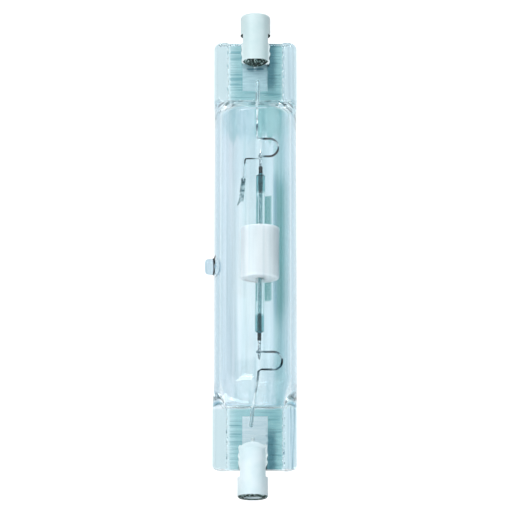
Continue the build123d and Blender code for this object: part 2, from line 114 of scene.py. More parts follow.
def pieceFromGrids(name, grids):
    # each grid is (points[rows, columns, 3] in mm, flip); one closed mesh in metres
    merge = 0.004 * mm
    points, faces, first = [], [], 0
    for grid, flip in grids:
        faces.append(gridFaces(grid.shape[0], grid.shape[1], first, flip))
        points.append(grid.reshape(-1, 3) * mm)
        first += grid.shape[0] * grid.shape[1]
    mesh = bpy.data.meshes.new(name)
    mesh.from_pydata(np.concatenate(points).tolist(), [], np.concatenate(faces).tolist())
    work = bmesh.new()
    work.from_mesh(mesh)
    bmesh.ops.remove_doubles(work, verts=work.verts, dist=merge)
    bmesh.ops.dissolve_degenerate(work, edges=work.edges, dist=merge * 0.5)
    for face in work.faces:
        face.smooth = True
    work.to_mesh(mesh)
    work.free()
    piece = bpy.data.objects.new(name, mesh)
    bpy.context.scene.collection.objects.link(piece)
    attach(piece, "root")
    return piece


# quartz envelope, sizes in mm: A is the end at +Y, B the end at -Y
envelope = dict(
    tubeRadius=10.0, boreRadius=8.5, shoulderStartA=33.4, shoulderStartB=31.0, shoulderEnd=38.6,
    pressEndA=52.5, pressEndB=53.0, pressHalfWidth=10.1, pressShiftB=-0.2,
    beadHalf=2.45, beadRound=1.7, cornerRound=1.2, edgeRound=0.4, fineFrom=0.6, endStrip=1.3,
    webHalf=1.5, webHalfWidth=6.85, webFlare=2.6, flareStart=38.8, flareLength=3.6,
    wallSlope=5.0, riseStart=37.9, riseSlope=2.02, blend=0.35,
    cavityStartA=33.8, cavityBackA=31.8, cavityStartB=30.4, cavityEnd=37.3,
    cavityHalfWidth=7.0, cavityHalf=0.4,
    endRings=[0.0, 0.35, 0.7], shoulderRings=(31.0, 39.0), tipRings=(-7.9, 1.3), tipBoreRings=(-6.0, -0.6),
)
# Waves are given by their turns, in radians per mm. A wobble is (turns, swing, slow turns), a ripple is
# (share, turns across, turns along, shift).
pressMarks = dict(
    jawPitch=1.3, jawDepth=0.08, jawFirst=40.2, jawCount=9, jawWidth=0.16, jawInset=0.3, jawFade=0.6,
    jawReach=0.4, wallWave=0.09, wallWobble=(4.3, 1.9, 1.3), fineWallWave=0.05, fineTurns=11.0,
    wallFrom=(38.0, 39.5), edgeWave=0.09, edgeWobble=(5.3, 1.7, 2.1), edgeFrom=(38.5, 40.5), edgeWidth=0.5,
    ripple=0.05, rippleAt=37.6, rippleWidth=1.8,
    ripples=[(1.0, 1.9, 0.7, 0.0), (0.6, 3.7, -1.3, 1.0), (0.5, 0.9, 4.1, 0.0)],
)
# Exhaust tip and its bore. At each share of the reach round the tip's axis: the radius that the points are
# carried to, their height above the tube's axis, and how much that height replaces the tube's own surface.
tipOutside = dict(
    reach=4.0,
    place=[0.0, 0.24, 0.29, 0.34, 0.44, 0.52, 0.60, 0.70, 0.80, 1.0],
    radius=[0.0, 1.2, 1.62, 1.84, 1.92, 1.95, 2.04, 2.3, 2.8, 4.0],
    height=[12.2, 12.2, 12.05, 11.75, 11.3, 10.6, 10.28, 10.08, 10.01, 10.0],
    share=[1.0, 1.0, 1.0, 1.0, 1.0, 0.97, 0.8, 0.45, 0.1, 0.0],
)
tipBore = dict(
    reach=2.4,
    place=[0.0, 0.12, 0.4, 0.62, 0.8, 1.0],
    radius=[0.0, 0.15, 0.5, 0.85, 1.3, 2.4],
    height=[9.7, 9.6, 9.1, 8.7, 8.52, 8.5],
    share=[1.0, 1.0, 1.0, 0.8, 0.0, 0.0],
)
tipY = -3.3


def ringShape(cornerCount, topFine, topCoarse):
    # one ring as fractions of half width and half height, counted round from +X by +Z
    size = envelope
    bead = size["beadRound"] / size["pressHalfWidth"]
    turn = np.linspace(0, math.pi / 2, cornerCount, endpoint=False)
    cornerX = 1 - bead * (1 - np.cos(turn))
    top = np.concatenate([np.linspace(1 - bead, size["fineFrom"], topFine, endpoint=False),
                          np.linspace(size["fineFrom"], 0, topCoarse, endpoint=False)])
    quarterX = np.concatenate([cornerX, top])
    quarterZ = np.concatenate([np.sin(turn), np.ones(len(top))])
    backX, backZ = quarterX[:0:-1], quarterZ[:0:-1]
    x = np.concatenate([quarterX, [0], -backX, -quarterX, [0], backX])
    z = np.concatenate([quarterZ, [1], backZ, -quarterZ, [-1], -backZ])
    return x, z


def withTip(x, y, z, profile, tubeRadius):
    # points near the exhaust tip's axis are carried along its profile, the others stay
    tiny = 1e-6
    stepY = y - tipY
    distance = np.hypot(stepY, z)
    near = (x < 0) & (distance < profile["reach"])
    part = distance / profile["reach"]
    grow = np.interp(part, profile["place"], profile["radius"]) / np.maximum(distance, tiny)
    newY, newZ = tipY + stepY * grow, z * grow
    onTube = np.sqrt(np.clip(tubeRadius ** 2 - newZ ** 2, 0, None))
    share = np.interp(part, profile["place"], profile["share"])
    newX = -(np.interp(part, profile["place"], profile["height"]) * share + onTube * (1 - share))
    return np.stack([np.where(near, newX, x), np.where(near, newY, y), np.where(near, newZ, z)], axis=-1)


def jawSurface(x, away):
    # What the press jaws leave: the web height, plus a ramp towards the tube, plus a steep wall outside the
    # web's width, with ripples at the ramp and along the web's edges, less the fine marks of the jaws.
    size, mark = envelope, pressMarks
    across = np.abs(x)
    slope = size["riseSlope"] * np.clip(size["riseStart"] - away, 0, None)
    flare = size["webFlare"] * smooth((size["flareStart"] - away) / size["flareLength"])
    uneven = mark["wallWave"] * wobble(away, *mark["wallWobble"])
    uneven = uneven + mark["fineWallWave"] * np.sin(mark["fineTurns"] * away + x)
    uneven = uneven * rising(away, *mark["wallFrom"])
    wall = size["wallSlope"] * np.clip(across - size["webHalfWidth"] - flare - uneven, 0, None)
    ripple = sum(share * np.sin(turnsX * x + turnsY * away + shift)
                 for share, turnsX, turnsY, shift in mark["ripples"])
    ripple = mark["ripple"] * ripple * bell(away - mark["rippleAt"], mark["rippleWidth"])
    edge = mark["edgeWave"] * wobble(away, *mark["edgeWobble"]) * rising(away, *mark["edgeFrom"])
    edge = edge * bell(across - size["webHalfWidth"], mark["edgeWidth"])
    jaw = (away - mark["jawFirst"]) / mark["jawPitch"]
    inJaws = (jaw > -mark["jawReach"]) & (jaw < mark["jawCount"] - 1 + mark["jawReach"])
    dents = mark["jawDepth"] * bell(jaw - np.round(jaw), mark["jawWidth"]) * inJaws
    dents = dents * smooth((size["webHalfWidth"] - mark["jawInset"] - across) / mark["jawFade"])
    return size["webHalf"] + slope + wall + ripple + edge - dents


def outerGlass():
    # Rings along Y. Across the tube z = sqrt(R^2 - x^2); over the shoulder that height eases to the
    # rounded flat section, and the lower of it and the jaws' surface is kept.
    size = envelope
    ringX, ringZ = ringShape(cornerCount=22, topFine=15, topCoarse=18)
    endA, endB, strip = size["pressEndA"], size["pressEndB"], size["endStrip"]
    tubeSide, pressSide = size["shoulderRings"]
    tipLow, tipHigh = size["tipRings"]
    y = stations((-endB, -endB + strip, 9), (-endB + strip, -pressSide, 60), (-pressSide, -tubeSide, 34),
                 (-tubeSide, tipLow, 9), (tipLow, tipHigh, 47), (tipHigh, tubeSide, 12),
                 (tubeSide, pressSide, 34), (pressSide, endA - strip, 58), (endA - strip, endA, 9))
    closing = np.concatenate([size["endRings"], np.ones(len(y)), size["endRings"][::-1]])
    y = np.concatenate([[y[0]] * 3, y, [y[-1]] * 3])[:, None]
    away = np.abs(y)
    isB = y < 0
    start = np.where(isB, size["shoulderStartB"], size["shoulderStartA"])
    squeeze = rising(away, start, size["shoulderEnd"])
    toEnd = np.clip(np.where(isB, endB, endA) - away, 0, None)
    inset = rounding(size["cornerRound"], toEnd)
    lower = rounding(size["edgeRound"], toEnd)
    width = size["tubeRadius"] + (size["pressHalfWidth"] - size["tubeRadius"]) * squeeze - inset
    x = ringX[None, :] * width
    circleZ = np.sqrt(np.clip(1 - ringX ** 2, 0, None)) * size["tubeRadius"]
    flatZ = np.abs(ringZ) * size["beadHalf"]
    height = circleZ[None, :] + (flatZ[None, :] - circleZ[None, :]) * squeeze
    height = softMin(height, jawSurface(x, away), size["blend"])
    height = np.clip(height - lower, 0, None) * closing[:, None]
    z = height * np.sign(ringZ)[None, :]
    x = x + np.where(isB, size["pressShiftB"], 0.0) * squeeze
    return withTip(x, np.broadcast_to(y, x.shape), z, tipOutside, size["tubeRadius"])


def innerGlass():
    # The sealed cavity: round bore, whose height eases to a flat slit over each shoulder and closes there.
    # At end A the front closes later than the back.
    size = envelope
    ringX, ringZ = ringShape(cornerCount=12, topFine=7, topCoarse=14)
    end, late, early = size["cavityEnd"], size["cavityEnd"] - size["cavityHalf"], size["cavityStartB"]
    tipLow, tipHigh = size["tipBoreRings"]
    y = stations((-end, -late, 6), (-late, -early, 26), (-early, tipLow, 9), (tipLow, tipHigh, 28),
                 (tipHigh, early, 12), (early, late, 26), (late, end, 6))[:, None]
    away = np.abs(y)
    upper = smooth(0.5 + 0.5 * ringZ[None, :])
    startA = size["cavityBackA"] + (size["cavityStartA"] - size["cavityBackA"]) * upper
    start = np.where(y < 0, size["cavityStartB"], startA)
    squeeze = rising(away, start, end)
    closing = rounding(size["cavityHalf"], end - away)
    width = size["boreRadius"] + (size["cavityHalfWidth"] - size["boreRadius"]) * squeeze
    x = ringX[None, :] * (width - closing)
    circleZ = np.sqrt(np.clip(1 - ringX ** 2, 0, None)) * size["boreRadius"]
    flatZ = np.abs(ringZ) * size["cavityHalf"]
    height = circleZ[None, :] + (flatZ[None, :] - circleZ[None, :]) * squeeze
    z = np.clip(height - closing, 0, None) * np.sign(ringZ)[None, :]
    x = x + np.where(y < 0, size["pressShiftB"], 0.0) * squeeze
    return withTip(x, np.broadcast_to(y, x.shape), z, tipBore, size["boreRadius"])


sheath = dict(
    radius=0.5, sides=24,
    place=[0, 0, 0.04, 0.1, 0.9, 0.97, 1, 1],
    width=[0, 0.6, 0.9, 1, 1, 0.9, 0.6, 0],
    lines=[((0.61, 43.45, -0.13), (0.48, 37.4, -0.13)),
           ((-1.12, -42.65, -0.13), (-0.56, -37.4, -0.13))],
)


def sheathGlass(start, end):
    # Narrow air tube round the sealed part of an inner lead: circles carried along a straight line.
    start, end = np.array(start), np.array(end)
    along = (end - start) / np.linalg.norm(end - start)
    side = np.cross(along, [0, 0, 1.0])
    side /= np.linalg.norm(side)
    up = np.cross(side, along)
    turn = np.linspace(0, 2 * math.pi, sheath["sides"], endpoint=False)
    radius = sheath["radius"] * np.array(sheath["width"])
    centre = start + np.outer(sheath["place"], end - start)
    ring = np.cos(turn)[:, None] * side + np.sin(turn)[:, None] * up
    return centre[:, None, :] + radius[:, None, None] * ring[None, :, :]


glass = pieceFromGrids(
    "envelope_glass",
    [(outerGlass(), False), (innerGlass(), True)] + [(sheathGlass(*line), True) for line in sheath["lines"]],
)
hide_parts("outer_envelope")
print("envelope glass:", len(glass.data.polygons), "faces")


# material helpers

def newMaterial(name):
    made = bpy.data.materials.new(name)
    made.use_nodes = True
    return made, made.node_tree, made.node_tree.nodes["Principled BSDF"]


def colour(code):
    # hex code of a seen colour, made linear
    parts = [int(code[first:first + 2], 16) / 255 for first in (0, 2, 4)]
    linear = [part / 12.92 if part <= 0.04045 else ((part + 0.055) / 1.055) ** 2.4 for part in parts]
    return (*linear, 1.0)


def ramp(tree, stops, source):
    # colours by a value; a stop's colour is a hex code or linear
    made = tree.nodes.new("ShaderNodeValToRGB")
    elements = made.color_ramp.elements
    while len(elements) < len(stops):
        elements.new(0.5)
    for element, (place, code) in zip(elements, stops):
        element.position = place
        element.color = colour(code) if isinstance(code, str) else code
    tree.links.new(source, made.inputs["Fac"])
    return made.outputs["Color"]


def objectNoise(tree, scale, detail=3.0, stretch=(1, 1, 1)):
    place = tree.nodes.new("ShaderNodeTexCoord")
    mapping = tree.nodes.new("ShaderNodeMapping")
    mapping.inputs["Scale"].default_value = stretch
    noise = tree.nodes.new("ShaderNodeTexNoise")
    noise.inputs["Scale"].default_value = scale
    noise.inputs["Detail"].default_value = detail
    tree.links.new(place.outputs["Object"], mapping.inputs["Vector"])
    tree.links.new(mapping.outputs["Vector"], noise.inputs["Vector"])
    return noise.outputs["Fac"]


def axesOf(tree, vector):
    split = tree.nodes.new("ShaderNodeSeparateXYZ")
    tree.links.new(vector, split.inputs["Vector"])
    return split.outputs["X"], split.outputs["Y"], split.outputs["Z"]


def objectAxes(tree):
    return axesOf(tree, tree.nodes.new("ShaderNodeTexCoord").outputs["Object"])


def mapped(tree, source, low, high, toLow=0.0, toHigh=1.0, smoothed=True):
    made = tree.nodes.new("ShaderNodeMapRange")
    if smoothed:
        made.interpolation_type = "SMOOTHSTEP"
    for socket, value in (("From Min", low), ("From Max", high), ("To Min", toLow), ("To Max", toHigh)):
        made.inputs[socket].default_value = value
    tree.links.new(source, made.inputs["Value"])
    return made.outputs["Result"]


def between(tree, source, low, high, span=(0.0, 1.0)):
    # goes straight from low to high while the source crosses its span
    return mapped(tree, source, *span, low, high, False)


def fill(tree, sockets, values):
    # plain values are set on their sockets, outputs of other nodes are linked
    for socket, value in zip(sockets, values):
        if isinstance(value, (float, int, tuple)):
            socket.default_value = value
        else:
            tree.links.new(value, socket)


def feed(tree, shader, values):
    # a shader's sockets are filled by their names
    fill(tree, [shader.inputs[name] for name in values], values.values())


def maths(tree, operation, *values):
    made = tree.nodes.new("ShaderNodeMath")
    made.operation = operation
    fill(tree, made.inputs, values)
    return made.outputs["Value"]


def fromMiddle(tree):
    # distance along the lamp from its middle
    return maths(tree, "ABSOLUTE", objectAxes(tree)[1])


def times(tree, first, *others):
    for other in others:
        first = maths(tree, "MULTIPLY", first, other)
    return first


def mixed(tree, factor, first, second, mode="MIX"):
    # inputs 6 and 7 and output 2 of the node are its colours
    made = tree.nodes.new("ShaderNodeMix")
    made.data_type = "RGBA"
    made.blend_type = mode
    fill(tree, (made.inputs[0], made.inputs[6], made.inputs[7]), (factor, first, second))
    return made.outputs[2]


def addBump(tree, shader, height, strength, distance):
    bump = tree.nodes.new("ShaderNodeBump")
    bump.inputs["Strength"].default_value = strength
    bump.inputs["Distance"].default_value = distance
    tree.links.new(height, bump.inputs["Height"])
    tree.links.new(bump.outputs["Normal"], shader.inputs["Normal"])


def grained(name, dark, light, roughness, metallic=0.0, scale=900, bump=0.2, distance=0.05 * mm,
            stretch=(1, 1, 1)):
    # a solid finish whose colour, roughness and surface change a little over the piece
    made, tree, shader = newMaterial(name)
    noise = objectNoise(tree, scale, 4.0, stretch)
    feed(tree, shader, {
        "Base Color": ramp(tree, [(0.3, dark), (0.7, light)], noise),
        "Roughness": between(tree, noise, roughness * 0.8, min(1.0, roughness * 1.2)),
        "Metallic": metallic,
    })
    addBump(tree, shader, noise, bump, distance)
    return made


# Quartz colours are what is seen through the whole piece, by place across it in mm: the front and the back
# surface carry a share each. Places and spans are in mm, and (from, to) is where a soft edge starts and ends.
# The tube, tubeEnds, topA and press ramps are partly painted shade and highlight: pale blue on the left, they
# deepen to teal towards +X, away from the key lamp, with paler bands at the web's edges.
glassLook = dict(
    tube=[(-10.1, "cadae5"), (-8.4, "ccdae5"), (-6.2, "d6e3eb"), (-3.0, "d9e6eb"), (0.0, "d9e6eb"),
          (0.4, "e2eef2"), (1.0, "deebf0"), (2.2, "cddfe6"), (4.7, "c3d8e1"), (5.0, "8ab3bf"),
          (5.4, "6c9db0"), (5.8, "76a8aa"), (6.6, "78a9ac"), (8.0, "84b0b6"), (8.4, "b4c9d6"),
          (10.1, "b8cdd8")],
    tubeEnds=[(-10.1, "cadae5"), (-8.4, "cddae5"), (-6.2, "d3e0e9"), (-3.0, "cddee5"), (0.0, "cfdfe6"),
              (0.4, "dae8ee"), (1.0, "d6e4ea"), (2.4, "c8dbe3"), (4.8, "c4d9e2"), (5.2, "a5c7ce"),
              (6.8, "a3c6ce"), (8.0, "a9c7d0"), (8.4, "bfd2de"), (10.1, "c3d5df")],
    topA=[(-10.1, "c4d8e4"), (-5.5, "a9c9d2"), (-3.5, "bdd5e0"), (-0.4, "bbd6df"), (0.3, "8fbfc4"),
          (3.0, "83b5ba"), (6.4, "8bbabf"), (7.4, "a9cbd2"), (10.1, "c0d4de")],
    press=[(-10.1, "b4ccd3"), (-9.0, "c6dae0"), (-7.3, "c3d8de"), (-7.0, "c3d8de"), (-6.6, "cfe4ea"),
           (-5.9, "b9d6dc"), (-4.6, "a0c6cc"), (-3.0, "9ac2c8"), (0.0, "9ec4ca"), (3.4, "8bb7bd"),
           (5.0, "8ab8be"), (6.4, "9bc3c9"), (6.8, "b8d4da"), (7.3, "c3d9e1"), (8.6, "bfd5df"),
           (10.1, "a3bfc9")],
    acrossHalf=10.2, frontShare=0.12, front=(-1.0, 1.0), towardsA=(-1.0, 1.0),
    endsFromA=(16.5, 22.5), endsFromB=(-10.5, -18.5), topFrom=(29.8, 32.2), pressFrom=(37.4, 38.4),
    rim="b2c8d3", rimAt=(8.35, 8.75),
    shadePatch="86bbb8", patchLeft=(2.35, 2.55), patchRight=(4.25, 4.05), patchLow=(-10.3, -9.7),
    patchHigh=(16.4, 16.0),
    grain=[(0.34, "e6f0f2"), (0.5, "f7fbfc"), (0.64, "ffffff")], grainStretch=(900, 14, 300), drift=12.0,
    shakeStretch=(260, 900, 260), shake=0.7,
    jawLineShade=[(0.36, "86b4bc"), (0.5, "e8f2f4"), (0.66, "f2fafb")], streakStretch=(90, 2600, 90),
    streakFrom=(6.7, 5.8), streakInFront=0.3,
    edgeLightAndShade=[(0.36, "35606f"), (0.41, "cfe4ea"), (0.47, "ffffff"), (0.6, "ffffff"), (0.66, "a9c8d0")],
    dashStretch=(700, 1500, 200), dashInside=(6.62, 6.76), dashOutside=(7.06, 6.90), paleAtA=0.1,
    beadShadeLines=[(0.38, "6f97a8"), (0.45, "d2e2ea"), (0.56, "eaf3f6"), (0.62, "ffffff")],
    beadStretch=(1700, 45, 200), beadFrom=(7.4, 8.0), beadAtA=0.25, beadWeight=0.85,
    capShadow="6290a0", deepLeft=(2.4, 3.1), deepRight=(5.6, 4.0), deepFrom=(41.5, 45.5), deepAtA=2.4,
    deepWaves=3.0, deepWeight=0.8,
    gap="3f7288", gapAt=45.95, gapHalf=(0.34, 0.14), gapAcross=(2.4, 1.8), gapWaves=0.5,
    ior=1.458, tipIor=1.13, tipFrom=(-9.4, -10.0), tipHalf=(2.4, 2.0),
)


def tintRamp(tree, stops, share, place):
    # a surface's share of the whole tint is a power of it
    half = glassLook["acrossHalf"]
    shared = [((x + half) / (2 * half), tuple(channel ** share for channel in colour(code)[:3]) + (1.0,))
              for x, code in stops]
    return ramp(tree, shared, place)


def edged(tree, source, span, toLow=0.0, toHigh=1.0):
    # soft edge whose span is in mm
    return mapped(tree, source, span[0] * mm, span[1] * mm, toLow, toHigh)


def inside(tree, *edges):
    # 1 where each (value, span) is past its soft edge
    return times(tree, *[edged(tree, source, span) for source, span in edges])


def swaying(tree, noise, size):
    # noise turned into a shift about zero, its size in mm
    return times(tree, maths(tree, "SUBTRACT", noise, 0.5), size * mm)


def tubeTintAndShade(tree, x, y, isFront):
    look = glassLook
    half = look["acrossHalf"] * mm
    place = mapped(tree, x, -half, half, smoothed=False)
    fine = objectNoise(tree, 1.0, 3.0, look["grainStretch"])
    # the deeper tint of the middle gives way towards both shoulders, along an uneven line
    drifting = maths(tree, "ADD", y, swaying(tree, fine, look["drift"]))
    nearA, nearB = [edged(tree, drifting, look[name]) for name in ("endsFromA", "endsFromB")]
    isEnd = maths(tree, "ADD", nearA, nearB)
    # painted shade: both ramps deepen to teal towards +X
    back, front = [mixed(tree, isEnd, tintRamp(tree, look["tube"], share, place),
                         tintRamp(tree, look["tubeEnds"], share, place))
                   for share in (1.0 - look["frontShare"], look["frontShare"])]
    # painted shade: a deep patch with plain edges lies behind and beside the arc tube, on its side away from
    # the key lamp
    shadePatch = inside(tree, (x, look["patchLeft"]), (x, look["patchRight"]),
                   (y, look["patchLow"]), (y, look["patchHigh"]))
    back = mixed(tree, shadePatch, back, colour(look["shadePatch"]), "MULTIPLY")
    # painted shade: the closing end A is deeper on the right
    isTop = edged(tree, drifting, look["topFrom"])
    back = mixed(tree, isTop, back, tintRamp(tree, look["topA"], 1.0 - look["frontShare"], place))
    isRim = edged(tree, maths(tree, "ABSOLUTE", x), look["rimAt"])
    tube = mixed(tree, isFront, back, mixed(tree, isRim, front, colour(look["rim"])))
    return mixed(tree, 1.0, tube, ramp(tree, look["grain"], fine), "MULTIPLY")


def pressTintAndShade(tree, x, y, z, isFront):
    look = glassLook
    across = maths(tree, "ABSOLUTE", x)
    ripple = objectNoise(tree, 1.0, 2.0, look["shakeStretch"])
    shake = swaying(tree, ripple, look["shake"])
    half = look["acrossHalf"] * mm
    place = mapped(tree, maths(tree, "ADD", x, shake), -half, half, smoothed=False)
    # light crosses two surfaces of the press and four of the tube, so each one's share is doubled here
    # painted shade: the press ramp deepens towards +X, with painted highlights at the web's edges
    press = mixed(tree, isFront, tintRamp(tree, look["press"], 2 - 2 * look["frontShare"], place),
                  tintRamp(tree, look["press"], 2 * look["frontShare"], place))
    # painted shade: fine darker lines across the web, where the jaws pressed it
    lines = objectNoise(tree, 1.0, 3.0, look["streakStretch"])
    onWeb = times(tree, edged(tree, across, look["streakFrom"]),
                  edged(tree, z, look["front"], 1.0, look["streakInFront"]))
    press = mixed(tree, onWeb, press, ramp(tree, look["jawLineShade"], lines), "MULTIPLY")
    # painted highlight and shade along the web's uneven edges, which are paler at end A
    chop = objectNoise(tree, 1.0, 2.0, look["dashStretch"])
    chop = maths(tree, "ADD", chop, edged(tree, y, look["towardsA"], 0.0, look["paleAtA"]))
    shaken = maths(tree, "ADD", across, shake)
    atEdge = times(tree, inside(tree, (shaken, look["dashInside"]), (shaken, look["dashOutside"])), isFront)
    press = mixed(tree, atEdge, press, ramp(tree, look["edgeLightAndShade"], chop))
    # painted shade: dark lines along the right bead, mostly at end B
    beadShade = ramp(tree, look["beadShadeLines"], objectNoise(tree, 1.0, 2.0, look["beadStretch"]))
    onBead = times(tree, edged(tree, x, look["beadFrom"]), isFront,
                   edged(tree, y, look["towardsA"], 1.0, look["beadAtA"]), look["beadWeight"])
    press = mixed(tree, onBead, press, beadShade, "MULTIPLY")
    # painted shadow of the caps: a deeper tint right of them, which starts further in at end A
    wavy = maths(tree, "ADD", x, times(tree, shake, look["deepWaves"]))
    away = maths(tree, "ABSOLUTE", y)
    fromSeal = maths(tree, "ADD", away, edged(tree, y, look["towardsA"], 0.0, look["deepAtA"] * mm))
    inCapShadow = inside(tree, (wavy, look["deepLeft"]), (wavy, look["deepRight"]), (fromSeal, look["deepFrom"]))
    inCapShadow = times(tree, inCapShadow, look["deepWeight"])
    press = mixed(tree, inCapShadow, press, colour(look["capShadow"]), "MULTIPLY")
    # the shaded gap between end A's cap and the web
    wavyY = maths(tree, "ADD", y, times(tree, shake, look["gapWaves"]))
    fromGap = maths(tree, "ABSOLUTE", maths(tree, "SUBTRACT", wavyY, look["gapAt"] * mm))
    inGap = times(tree, inside(tree, (fromGap, look["gapHalf"]), (across, look["gapAcross"])), isFront)
    return mixed(tree, inGap, press, colour(look["gap"]))


def quartzGlass():
    look = glassLook
    made, tree, shader = newMaterial("clear_quartz")
    x, y, z = objectAxes(tree)
    isFront = edged(tree, z, look["front"])
    isPress = edged(tree, fromMiddle(tree), look["pressFrom"])
    tint = mixed(tree, isPress, tubeTintAndShade(tree, x, y, isFront), pressTintAndShade(tree, x, y, z, isFront))
    # the exhaust tip is given a lower index than the tube, as its middle shows little bending
    fromTip = maths(tree, "ABSOLUTE", maths(tree, "SUBTRACT", y, tipY * mm))
    onTip = inside(tree, (x, look["tipFrom"]), (fromTip, look["tipHalf"]))
    feed(tree, shader, {
        "Base Color": tint,
        "Transmission Weight": 1.0,
        "Roughness": 0.0,
        "IOR": between(tree, onTip, look["ior"], look["tipIor"]),
    })
    # lamps reach what is inside the glass
    rays = tree.nodes.new("ShaderNodeLightPath")
    clear = tree.nodes.new("ShaderNodeBsdfTransparent")
    mix = tree.nodes.new("ShaderNodeMixShader")
    fill(tree, mix.inputs, (rays.outputs["Is Shadow Ray"], shader.outputs["BSDF"], clear.outputs["BSDF"]))
    tree.links.new(mix.outputs["Shader"], tree.nodes["Material Output"].inputs["Surface"])
    return made


aluminaLook = dict(
    cloud=220.0, stretch=(1, 0.35, 1), tint=[(0.35, "dbdcdf"), (0.65, "e8e9eb")], roughness=(0.42, 0.55),
    spread=2.5, grain=3200.0, bump=(0.08, 0.05 * mm),
)
capillaryLook = dict(
    cloud=300.0, stretch=(1, 0.3, 1), tint=[(0.35, "dcf0f1"), (0.65, "f6fcfc")], roughness=(0.05, 0.1),
    sealed="a5cdd0", sealedFrom=(14.9, 15.6), ior=1.22, clear=0.95, grain=3200.0, bump=(0.05, 0.05 * mm),
)
noiseSpan = (0.3, 0.7)


def alumina():
    # translucent sintered ceramic: matte, light spreads under its surface
    look = aluminaLook
    made, tree, shader = newMaterial("arc_alumina")
    cloud = objectNoise(tree, look["cloud"], 3.0, look["stretch"])
    feed(tree, shader, {
        "Base Color": ramp(tree, look["tint"], cloud),
        "Roughness": between(tree, cloud, *look["roughness"], noiseSpan),
        "Subsurface Weight": 1.0,
        "Subsurface Radius": (1.0, 1.0, 1.0),
        "Subsurface Scale": look["spread"] * mm,
    })
    addBump(tree, shader, objectNoise(tree, look["grain"], 1.0), *look["bump"])
    return made


def clearAlumina():
    # the thin tubes: the same ceramic, clear enough that the lead sealed inside shows through
    look = capillaryLook
    made, tree, shader = newMaterial("capillary_alumina")
    cloud = objectNoise(tree, look["cloud"], 3.0, look["stretch"])
    # deeper where the sealing frit fills the bore
    sealed = edged(tree, fromMiddle(tree), look["sealedFrom"])
    deeper = mixed(tree, sealed, colour("ffffff"), colour(look["sealed"]))
    feed(tree, shader, {
        "Base Color": mixed(tree, 1.0, ramp(tree, look["tint"], cloud), deeper, "MULTIPLY"),
        "Roughness": between(tree, cloud, *look["roughness"], noiseSpan),
        "IOR": look["ior"],
        "Transmission Weight": look["clear"],
    })
    addBump(tree, shader, objectNoise(tree, look["grain"], 1.0), *look["bump"])
    return made


wireLook = dict(
    heldFrom=(31.0, 36.0), openCloud=330.0, openTone=[(0.42, "0a2028"), (0.51, "4d727d"), (0.59, "f0f5f6")],
    heldCloud=900.0, heldHighlightTone=[(0.4, "dde6e9"), (0.6, "ffffff")], metallic=(1.0, 0.2), grain=2400.0,
    roughness=(0.1, 0.18), bump=(0.1, 0.02 * mm),
)
rodLook = dict(
    openFrom=(20.3, 20.8), cloud=1800.0, sealedShadeTone=[(0.35, "08303b"), (0.65, "2f7180")],
    openTone=[(0.38, "7f929a"), (0.52, "e3eaed"), (0.65, "ffffff")], roughness=(0.5, 0.14),
    bump=(0.15, 0.03 * mm),
)


def drawnWire():
    # molybdenum lead: painted highlight, bright and less metallic where the glass holds it, with darker drawn
    # lengths in the open part
    look = wireLook
    made, tree, shader = newMaterial("lead_wire")
    openTone = ramp(tree, look["openTone"], objectNoise(tree, look["openCloud"], 2.0))
    heldHighlightTone = ramp(tree, look["heldHighlightTone"], objectNoise(tree, look["heldCloud"], 2.0))
    isHeld = edged(tree, fromMiddle(tree), look["heldFrom"])
    fine = objectNoise(tree, look["grain"], 1.0)
    feed(tree, shader, {
        "Base Color": mixed(tree, isHeld, openTone, heldHighlightTone),
        "Metallic": between(tree, isHeld, *look["metallic"]),
        "Roughness": between(tree, fine, *look["roughness"], noiseSpan),
    })
    addBump(tree, shader, fine, *look["bump"])
    return made


def sealedRod():
    # niobium feedthrough: bright outside the ceramic; dulled where the frit holds it, and darkened there with
    # painted shade
    look = rodLook
    made, tree, shader = newMaterial("niobium")
    cloud = objectNoise(tree, look["cloud"], 3.0)
    isOpen = edged(tree, fromMiddle(tree), look["openFrom"])
    # painted shade: dark teal where the rod lies inside the ceramic
    sealedShadeTone, openTone = ramp(tree, look["sealedShadeTone"], cloud), ramp(tree, look["openTone"], cloud)
    feed(tree, shader, {
        "Base Color": mixed(tree, isOpen, sealedShadeTone, openTone),
        "Roughness": between(tree, isOpen, *look["roughness"]),
        "Metallic": 1.0,
    })
    addBump(tree, shader, cloud, *look["bump"])
    return made


capLook = dict(
    cloud=260.0, pits=2600.0, side=[(0.35, "e2f1f1"), (0.65, "eff8f8")], endB="fafafd", endA="ebeeee",
    groundShade=[(0.44, "07110f"), (0.54, "1d3530"), (0.60, "6a8a86"), (0.67, "dbe8e6")],
    shadedGroundFacing=(0.22, 0.45), roughness=(0.38, 0.9), sidePits=0.06, cloudShare=0.3, bump=(0.7, 0.2 * mm),
)


def steatite():
    # fired cap ceramic: smooth pale sides; the rough ground faces that look towards end B are darkened with
    # painted shade
    look = capLook
    made, tree, shader = newMaterial("cap_steatite")
    cloud = objectNoise(tree, look["cloud"], 2.0)
    pits = objectNoise(tree, look["pits"], 2.0)
    # end A's ceramic is a little deeper than end B's
    isEndA = edged(tree, objectAxes(tree)[1], glassLook["towardsA"])
    endTint = mixed(tree, isEndA, colour(look["endB"]), colour(look["endA"]))
    side = mixed(tree, 1.0, ramp(tree, look["side"], cloud), endTint, "MULTIPLY")
    facing = axesOf(tree, tree.nodes.new("ShaderNodeNewGeometry").outputs["Normal"])[1]
    # painted shade: faces that look towards end B are darkened, and made rough and pitted
    isShadedGround = mapped(tree, times(tree, facing, -1.0), *look["shadedGroundFacing"])
    feed(tree, shader, {
        "Base Color": mixed(tree, isShadedGround, side, ramp(tree, look["groundShade"], pits)),
        "Roughness": between(tree, isShadedGround, *look["roughness"]),
    })
    pitting = times(tree, pits, maths(tree, "ADD", isShadedGround, look["sidePits"]))
    height = maths(tree, "ADD", pitting, times(tree, cloud, look["cloudShare"]))
    addBump(tree, shader, height, *look["bump"])
    return made


